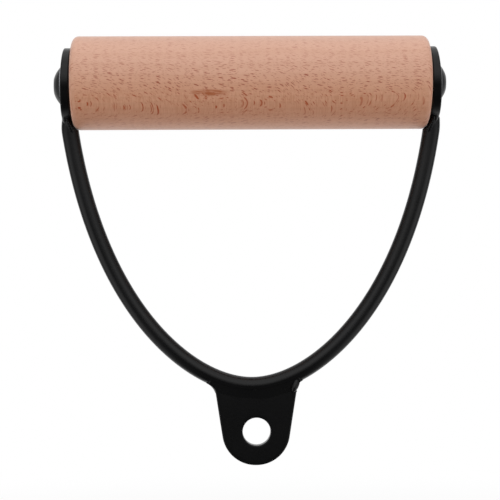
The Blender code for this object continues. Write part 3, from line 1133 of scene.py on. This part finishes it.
@dataclass
class Screw:
    """A domed screw with a hexagon socket.

    Each screw sits a little below the grip's middle, is slightly flatter than its solid, and has its
    own height of rim and its own rubbed band, painted bright as a highlight.
    """

    side: Side
    centre: Vector
    seat_x: float
    head_radius: float
    head_height: float
    drop: tuple = (0.00095, 0.0002)
    flatter: tuple = (0.00003, 0.0002)
    rim: tuple = (0.0009, 0.00064)
    # each side's rubbed band and how bright it is painted, as bare metal and a painted highlight
    band: tuple = ((0.00058, 0.00092), (0.00094, 0.00126))
    wear_and_highlight: tuple = (1.0, 0.35)
    seat_gap: float = 0.00003
    rim_edge: float = 0.00008
    flat_radius: float = 0.00305
    shank_radius: float = 0.0020
    shank_length: float = 0.016
    shank_edge: float = 0.0006
    socket_across: float = 0.004
    socket_depth: float = 0.0018
    socket_edge: float = 0.00018
    socket_cone: tuple = (0.0004, 0.0002)
    top_shares: tuple = (0.3, 0.65)
    dome_steps: int = 22
    steps: int = 96

    @classmethod
    def from_frame(cls, side: Side) -> "Screw":
        """Take the head's place and size from its solid, and its seat from the eye's face.

        Args:
            side: The end of the grip.

        Returns:
            The screw.
        """
        low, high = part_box("screw_" + side.label)
        centre = middle_of("grip") - Vector((0, 0, side.pick(cls.drop)))
        seat = max(abs(corner.x - centre.x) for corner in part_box("eye_" + side.label)) + cls.seat_gap
        tip = max(abs(low.x - centre.x), abs(high.x - centre.x))
        return cls(side, centre, seat, (high.z - low.z) / 2, tip - seat - side.pick(cls.flatter))

    def hexagon(self, across: float) -> np.ndarray:
        """Return a hexagon's radius at each angle: half its width over the cosine from the nearest flat."""
        from_flat = (around(self.steps) + pi / 6) % (pi / 3) - pi / 6
        return across / 2 / np.cos(from_flat)

    def circle(self, radius: float) -> np.ndarray:
        """Return the same radius at each angle."""
        return np.full(self.steps, radius)

    def section(self) -> list[tuple]:
        """Return the screw from the socket's floor over the dome and down the shank.

        The dome is an arc about a point on the axis that passes through the rim and the edge of the
        flat top. The point's height is where its distances to both are equal.

        Returns:
            Pairs of a height above the seat and the radius there at each angle.
        """
        top, rim, head, flat = self.head_height, self.side.pick(self.rim), self.head_radius, self.flat_radius
        low = ((top + rim) - (head ** 2 - flat ** 2) / (top - rim)) / 2
        reach = sqrt(head ** 2 + (rim - low) ** 2)
        dome = np.linspace(np.arctan2(top - low, flat), np.arctan2(rim - low, head), self.dome_steps)
        floor, (cone_depth, cone_radius) = top - self.socket_depth, self.socket_cone
        wall, mouth = (self.hexagon(self.socket_across + wider) for wider in (0, 2 * self.socket_edge))
        shank, end, edge = self.shank_radius, -self.shank_length, self.shank_edge
        return [
            (floor - cone_depth, self.circle(cone_radius)),
            (floor, wall),
            (top - self.socket_edge, wall),
            (top, mouth),
            *((top, mouth * (1 - share) + self.circle(flat) * share) for share in self.top_shares),
            *((low + reach * sin(angle), self.circle(reach * cos(angle))) for angle in dome),
            (self.rim_edge, self.circle(head)),
            (0, self.circle(head - self.rim_edge)),
            (0, self.circle((head + shank) / 2)),
            (0, self.circle(shank)),
            (end + edge, self.circle(shank)),
            (end, self.circle(shank - edge)),
        ]

    def rings(self) -> np.ndarray:
        """Carry the section's radii round the screw's axis, one ring for each height.

        Returns:
            The screw's rings.
        """
        heights, radii = (np.array(column) for column in zip(*self.section()))
        angle = around(self.steps)
        return grid(
            self.centre.x + self.side.value * (self.seat_x + heights[:, None]),
            self.centre.y + radii * np.sin(angle),
            self.centre.z + radii * np.cos(angle),
        )

    def build(self) -> None:
        """Make the screw and its finish."""
        label = self.side.label
        band, wear_and_highlight = self.side.pick(self.band), self.side.pick(self.wear_and_highlight)
        finish = BlackedScrew(self.centre.x, self.seat_x, band, wear_and_highlight)
        look = Look(finish.material(), "black_screw", Body.HANDLE)
        add_piece("domed_screw_" + label, [shell(self.rings())], look, "screw_" + label, crease=radians(35))


@dataclass
class Lug:
    """The drilled plate under the bow, and the fillet weld that holds it.

    The plate was cut wider on the left, by a share of its reach and by a smaller one beside the weld.
    The toe's pairs are a place along the bow, to the right of its lowest point, and the depth of the
    weld's lower edge there below the rod's centreline. The plate's top, the corners and their places
    along the rod are looked for within the span either way, each in its number of search steps.
    """

    half_thickness: float
    end_radius: float
    hole_radius: float = 0.00488
    taper: float = radians(9.0)
    wider_left: float = 0.030
    wider_by_weld: float = 0.0255
    edge_depth: float = 0.00045
    edge_width: float = 0.0012
    hole_edge: float = 0.00035
    span: float = 0.03
    toe: tuple = (
        (-0.0098, 0.00505), (0.0004, 0.0051), (0.0020, 0.0056), (0.0046, 0.00565),
        (0.0093, 0.00525), (0.0135, 0.0058),
    )
    corner_radius: tuple = (0.0063, 0.0045)
    weld_start: float = 0.0012
    weld_round: float = 0.0012
    weld_sunk: float = 0.0002
    weld_inset: float = 0.0002
    ripple: float = 0.00004
    ripple_pitch: float = 0.0013
    blob_centre: tuple = (0.01375, -0.0016, 0.0167)
    blob_reach: tuple = (0.00135, 0.0016, 0.0033)
    blob_lean: float = radians(21.0)
    blob_tip: float = radians(24.0)
    plate_steps: int = 240
    edge_steps: int = 8
    flat_steps: int = 12
    weld_steps: tuple = (40, 120)
    corner_steps: int = 60
    blob_steps: int = 32
    nearest_corner: float = 0.004
    search_steps: tuple = (400, 600, 3000)

    @classmethod
    def from_frame(cls) -> "Lug":
        """Take the plate's thickness and its round end from its solid."""
        low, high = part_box("lug")
        return cls(half_thickness=(high.y - low.y) / 2, end_radius=-low.z)

    def side_at(self, z: np.ndarray, side: Side) -> np.ndarray:
        """Return how far the plate's side is from the middle at a height above the hole."""
        width = self.end_radius / cos(self.taper) + z * tan(self.taper)
        return width * side.pick((1 + self.wider_by_weld, 1))

    def outer_radius(self, angle: np.ndarray, bow: Bow) -> np.ndarray:
        """Return how far the plate reaches from the hole's centre at each angle.

        Below, that is the round end. At the sides it is where a ray meets the straight side line, and
        above it is where the ray meets the rod's centreline, whichever is nearer. On the left it grows
        with how far the ray points to the left.

        Args:
            angle: Angles in the plate's plane, from X.
            bow: The rod.

        Returns:
            The radii.
        """
        slope = np.maximum(np.abs(np.cos(angle)) - np.sin(angle) * tan(self.taper), 1e-3)
        side = self.end_radius / cos(self.taper) / slope
        top = bow.parallel(np.linspace(-self.span, self.span, self.search_steps[0]))
        seen = np.arctan2(top[:, 1], top[:, 0])
        order = np.argsort(seen)
        above = np.interp(angle, seen[order], np.hypot(*top.T)[order], left=1, right=1)
        radius = np.where(np.sin(angle) < -sin(self.taper), self.end_radius, np.minimum(side, above))
        return radius * (1 + self.wider_left * np.maximum(-np.cos(angle), 0))

    def plate(self, bow: Bow) -> np.ndarray:
        """Return the plate: a flat section from the hole out to the edge, carried round the hole.

        The section's outer edge rolls over along a quarter ellipse on both faces, and the hole's edges
        along small arcs.

        Args:
            bow: The rod.

        Returns:
            One ring per angle round the hole.
        """
        angle = np.linspace(-pi, pi, self.plate_steps, endpoint=False)[:, None]
        outer = self.outer_radius(angle[:, 0], bow)[:, None]
        quarter = np.linspace(0, pi / 2, self.edge_steps)
        rise, fall = 1 - np.sin(quarter), 1 - np.cos(quarter)
        hole_end, outer_start = self.hole_radius + self.hole_edge, outer - self.edge_width
        flat = np.linspace(0, 1, self.flat_steps)[1:-1]
        across = np.concatenate([
            self.hole_radius + self.hole_edge * rise[::-1] + 0 * outer,
            hole_end + (outer_start - hole_end) * flat,
            outer - self.edge_width * rise,
        ], axis=1)
        face = self.half_thickness - np.concatenate([
            self.hole_edge * fall[::-1],
            np.zeros(flat.size),
            self.edge_depth * fall,
        ])
        across = np.concatenate([across, across[:, ::-1]], axis=1)
        depth = np.concatenate([-face, face[::-1]])
        return grid(across * np.cos(angle), depth, across * np.sin(angle))

    def corner(self, bow: Bow, side: Side) -> tuple[np.ndarray, np.ndarray]:
        """Return the hollow end of the weld in one corner, between the rod and the plate's side.

        It is an arc that touches both: its centre is the corner radius away from the rod's surface
        and from the plate's side.

        Args:
            bow: The rod.
            side: The corner's side.

        Returns:
            Distances from the rod's centreline, and places along it, of the arc's points.
        """
        along = side.value * np.linspace(self.nearest_corner, self.span, self.search_steps[1])
        hollow = side.pick(self.corner_radius)
        reach = bow.radius + hollow
        trial = bow.parallel(along, reach)
        off_side = (side.value * trial[:, 0] - self.side_at(trial[:, 1], side)) * cos(self.taper)
        centre_along = np.interp(hollow, off_side, along)
        centre = bow.parallel(centre_along, reach)
        beside = bow.parallel(centre_along)
        to_rod = np.arctan2(beside[1] - centre[1], beside[0] - centre[0])
        to_side = side.pick((self.taper, pi - self.taper))
        if side is Side.LEFT and to_rod < to_side:
            to_rod += 2 * pi
        points = arc(centre, hollow, to_rod, to_side, self.corner_steps)
        line_along = np.linspace(-self.span, self.span, self.search_steps[2])
        gaps = np.linalg.norm(points[:, None] - bow.parallel(line_along)[None], axis=2)
        return gaps.min(axis=1), line_along[gaps.argmin(axis=1)]

    def weld_end(self, bow: Bow, side: Side, share: np.ndarray) -> np.ndarray:
        """Return where the weld ends on one side: along the corner's arc, then down the plate's side.

        Args:
            bow: The rod.
            side: The side.
            share: Shares of the way from the rod's centreline to the toe.

        Returns:
            Places along the bow, one for each share.
        """
        gap, along = self.corner(bow, side)
        depth = share * side.pick((self.toe[0], self.toe[-1]))[1]
        place = np.interp(depth, gap, along)
        inside = self.side_at(bow.parallel(place, depth)[..., 1], side) - self.weld_inset
        return np.where(depth > gap.max(), side.value * inside, place)

    def weld(self, bow: Bow) -> np.ndarray:
        """Return the weld as rings that run along its front face and back along its rear face.

        Each ring lies at one share of the way from the rod's centreline to the toe. The weld's half
        thickness falls from the rod's to the plate's along a hollow power curve, and at both ends it
        is drawn in along a quarter ellipse.

        Args:
            bow: The rod.

        Returns:
            The rings.
        """
        down, across = self.weld_steps
        share = np.linspace(0, 1, down)[:, None]
        left, right = (self.weld_end(bow, side, share) for side in Side)
        along = left + (right - left) * (1 - np.cos(np.linspace(0, pi, across))) / 2
        toe = np.interp(along, *zip(*self.toe))
        distance = share * toe
        rod_half = np.sqrt(np.maximum(bow.radius ** 2 - distance ** 2, 0))
        start_half = sqrt(bow.radius ** 2 - self.weld_start ** 2)
        left_to_go = np.clip((toe - distance) / (toe - self.weld_start), 0, 1)
        build = (start_half - self.half_thickness) * left_to_go ** 1.5
        wave = self.ripple * np.cos(2 * pi * along / self.ripple_pitch) * np.sin(pi * left_to_go)
        fillet = self.half_thickness + build + wave - self.weld_sunk * (1 - left_to_go) ** 6
        half = np.where(distance < self.weld_start, rod_half - self.weld_sunk, fillet)
        to_edge = np.minimum(along - left, right - along)
        half = half * np.sqrt(1 - np.clip(1 - to_edge / self.weld_round, 0, 1) ** 2)
        x, z = np.moveaxis(bow.parallel(along, distance), -1, 0)
        return np.concatenate([grid(x, -half, z), grid(x, half, z)[:, ::-1]], axis=1)

    def blob(self) -> np.ndarray:
        """Return the bead in which the weld ends on the right, an ellipsoid.

        Its long axis leans along the corner and tips back at the top.

        Returns:
            The bead's rings.
        """
        lean, tip = Matrix.Rotation(self.blob_lean, 3, "Y"), Matrix.Rotation(-self.blob_tip, 3, "X")
        turned = np.array(lean @ tip).T
        return ellipsoid(self.blob_reach, self.blob_steps) @ turned + np.array(self.blob_centre)

    def build(self, bow: Bow, coated: Look) -> None:
        """Make the plate and its weld.

        Args:
            bow: The rod that the plate hangs from.
            coated: The look of both.
        """
        add_piece("drilled_lug", [shell(self.plate(bow), wrap_rows=True)], coated, "lug")
        welds = [shell(self.weld(bow)), shell(self.blob())]
        add_piece("weld_at_lug", welds, coated, "lug_weld_front", "lug_weld_back", crease=radians(60))


@dataclass
class Studio:
    """The camera, the lamp, the world and the floor.

    The room's pairs are an angle about X in degrees, from straight ahead up over the handle, and the
    strength of the light from there: one run for the directions across X and one for those near it.
    """

    centre: Vector
    lens: float = 97.18
    sensor: float = 36.0
    clip: tuple = (0.01, 20.0)
    yaw: float = radians(1.1)
    roll: float = radians(-0.33)
    camera_offset: tuple = (-0.00019, -0.4737, -0.05863)
    softbox_place: tuple = (0.03, -0.12, 1.20)
    softbox_size: tuple = (1.3, 1.25)
    softbox_power: float = 3.5
    softbox_aim: float = 0.6
    floor_height: float = -0.16
    floor_radius: float = 1.6
    floor_steps: int = 96
    floor_fade: tuple = (0.25, 0.9)
    floor_paint: tuple = (0.86, 0.86, 0.86, 1.0)
    room: tuple = (
        (-180, 1.20), (-152, 1.48), (-126, 1.48), (-105, 0.72), (-85, 0.09), (-60, 0.11), (-25, 0.22),
        (-12, 0.08), (-5, 0.12), (4, 0.56), (18, 1.38), (34, 1.76), (48, 1.48), (70, 0.70), (112, 0.72),
        (134, 0.90), (180, 1.20),
    )
    room_sides: tuple = (
        (-180, 0.25), (-120, 0.35), (-80, 1.30), (-20, 1.26), (10, 0.85), (80, 0.50), (120, 0.20),
        (180, 0.25),
    )
    sides_from: tuple = (0.45, 0.80)
    mirrored_from: tuple = (0.50, 0.85)

    def add_camera(self) -> None:
        """Place the camera in front of the grip, a little below it and to its left.

        It is level but for a small roll.
        """
        turned = Matrix.Rotation(self.roll, 3, "Y") @ Matrix.Rotation(self.yaw, 3, "Z")
        back = turned.transposed()
        right, forward, up = back.col[0], back.col[1], back.col[2]
        data = bpy.data.cameras.new("camera")
        data.lens, data.sensor_width = self.lens, self.sensor
        data.clip_start, data.clip_end = self.clip
        pose = Matrix((right, up, -forward)).transposed().to_4x4()
        pose.translation = self.centre + back @ Vector(self.camera_offset)
        camera = place_object("camera", data)
        camera.matrix_world = pose
        bpy.context.scene.camera = camera

    def add_softbox(self) -> None:
        """Hang a rectangular lamp over the handle, facing a share of the way from its lug up to its grip."""
        data = bpy.data.lights.new("top_softbox", "AREA")
        data.shape = "RECTANGLE"
        data.size, data.size_y = self.softbox_size
        data.energy = self.softbox_power
        lamp = place_object("top_softbox", data)
        target = Vector((self.centre.x, 0, self.centre.z * self.softbox_aim))
        lamp.location = self.softbox_place
        lamp.rotation_euler = (target - Vector(self.softbox_place)).to_track_quat("-Z", "Y").to_euler()
        lamp.visible_camera = False

    def light_world(self) -> None:
        """Make the world a soft room, with the white backdrop where the camera and reflections look for it.

        The room's light follows the angle about X, and near X it follows the other run of numbers. To
        the camera the world is white all round, and to reflected rays it is white behind the handle.
        """
        world = bpy.data.worlds.new("studio")
        world.use_nodes = True
        bpy.context.scene.world = world
        graph = Graph(world.node_tree)
        x, y, z = graph.place("Generated")
        angle = graph.maths("ARCTAN2", z, y * -1.0) / (2 * pi) + 0.5
        most = max(number for _, number in self.room + self.room_sides)
        middle, sides = (
            graph.ramp(angle, [(degrees / 360 + 0.5, number) for degrees, number in stops], most)
            for stops in (self.room, self.room_sides)
        )
        aside = graph.step(graph.maths("ABSOLUTE", x), *self.sides_from)
        strength = middle * (1.0 - aside) + sides * aside
        rays = graph.node("ShaderNodeLightPath").outputs
        mirrored = Value(graph, rays["Is Glossy Ray"]) * graph.step(y, *self.mirrored_from)
        seen = graph.maths("MAXIMUM", rays["Is Camera Ray"], rays["Is Transmission Ray"])
        room, white = (
            graph.node("ShaderNodeBackground", None, {"Color": WHITE, "Strength": light})
            for light in (strength, 1.0)
        )
        mix = graph.blend(graph.maths("MAXIMUM", seen, mirrored), room, white)
        graph.node("ShaderNodeOutputWorld", None, {"Surface": mix.outputs[0]})

    def add_floor(self) -> None:
        """Lay a pale round floor under the handle, which fades to the white of the background.

        It keeps the handle's shadow and is there for the camera alone: all other rays go through it
        to the room, whose light from below is that of a lit floor.
        """
        angle = around(self.floor_steps)
        disc = grid(np.cos(angle), np.sin(angle), 0.0) * self.floor_radius + (0, 0, self.floor_height)
        mesh = bpy.data.meshes.new("floor")
        mesh.from_pydata(disc, [], [list(range(len(disc)))])
        material = bpy.data.materials.new("floor")
        material.use_nodes = True
        graph = Graph(material.node_tree)
        x, y, _ = graph.place()
        far = graph.step(graph.maths("SQRT", x * x + y * y), *self.floor_fade)
        paint = graph.node("ShaderNodeBsdfDiffuse", None, {"Color": self.floor_paint})
        white = graph.node("ShaderNodeEmission", None, {"Color": WHITE, "Strength": 1.0})
        clear = graph.node("ShaderNodeBsdfTransparent")
        seen = graph.node("ShaderNodeLightPath").outputs["Is Camera Ray"]
        mix = graph.blend(seen, clear, graph.blend(far, paint, white))
        graph.node("ShaderNodeOutputMaterial", None, {"Surface": mix.outputs[0]})
        mesh.materials.append(material)
        place_object("floor", mesh)

    def build(self) -> None:
        """Set up the whole studio."""
        bpy.context.scene.view_settings.view_transform = "Standard"
        self.add_camera()
        self.add_softbox()
        self.light_world()
        self.add_floor()


def main() -> None:
    """Build the handle piece by piece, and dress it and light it."""
    logging.basicConfig(level=logging.INFO, format="%(name)s: %(message)s")
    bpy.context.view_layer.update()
    grip = GripRoll.from_frame()
    Studio(grip.centre).build()
    coated = Look(BlackCoat().material(), "black_coat", Body.HANDLE)
    bow = Bow.from_frame()
    grip.build()
    bow.build(grip, coated)
    for side in Side:
        Eye.from_frame(side).build(grip, bow, coated)
        Screw.from_frame(side).build()
    Lug.from_frame().build(bow, coated)
    dress("axle", material=TurnedSteel().material())


if __name__ == "__main__":
    main()
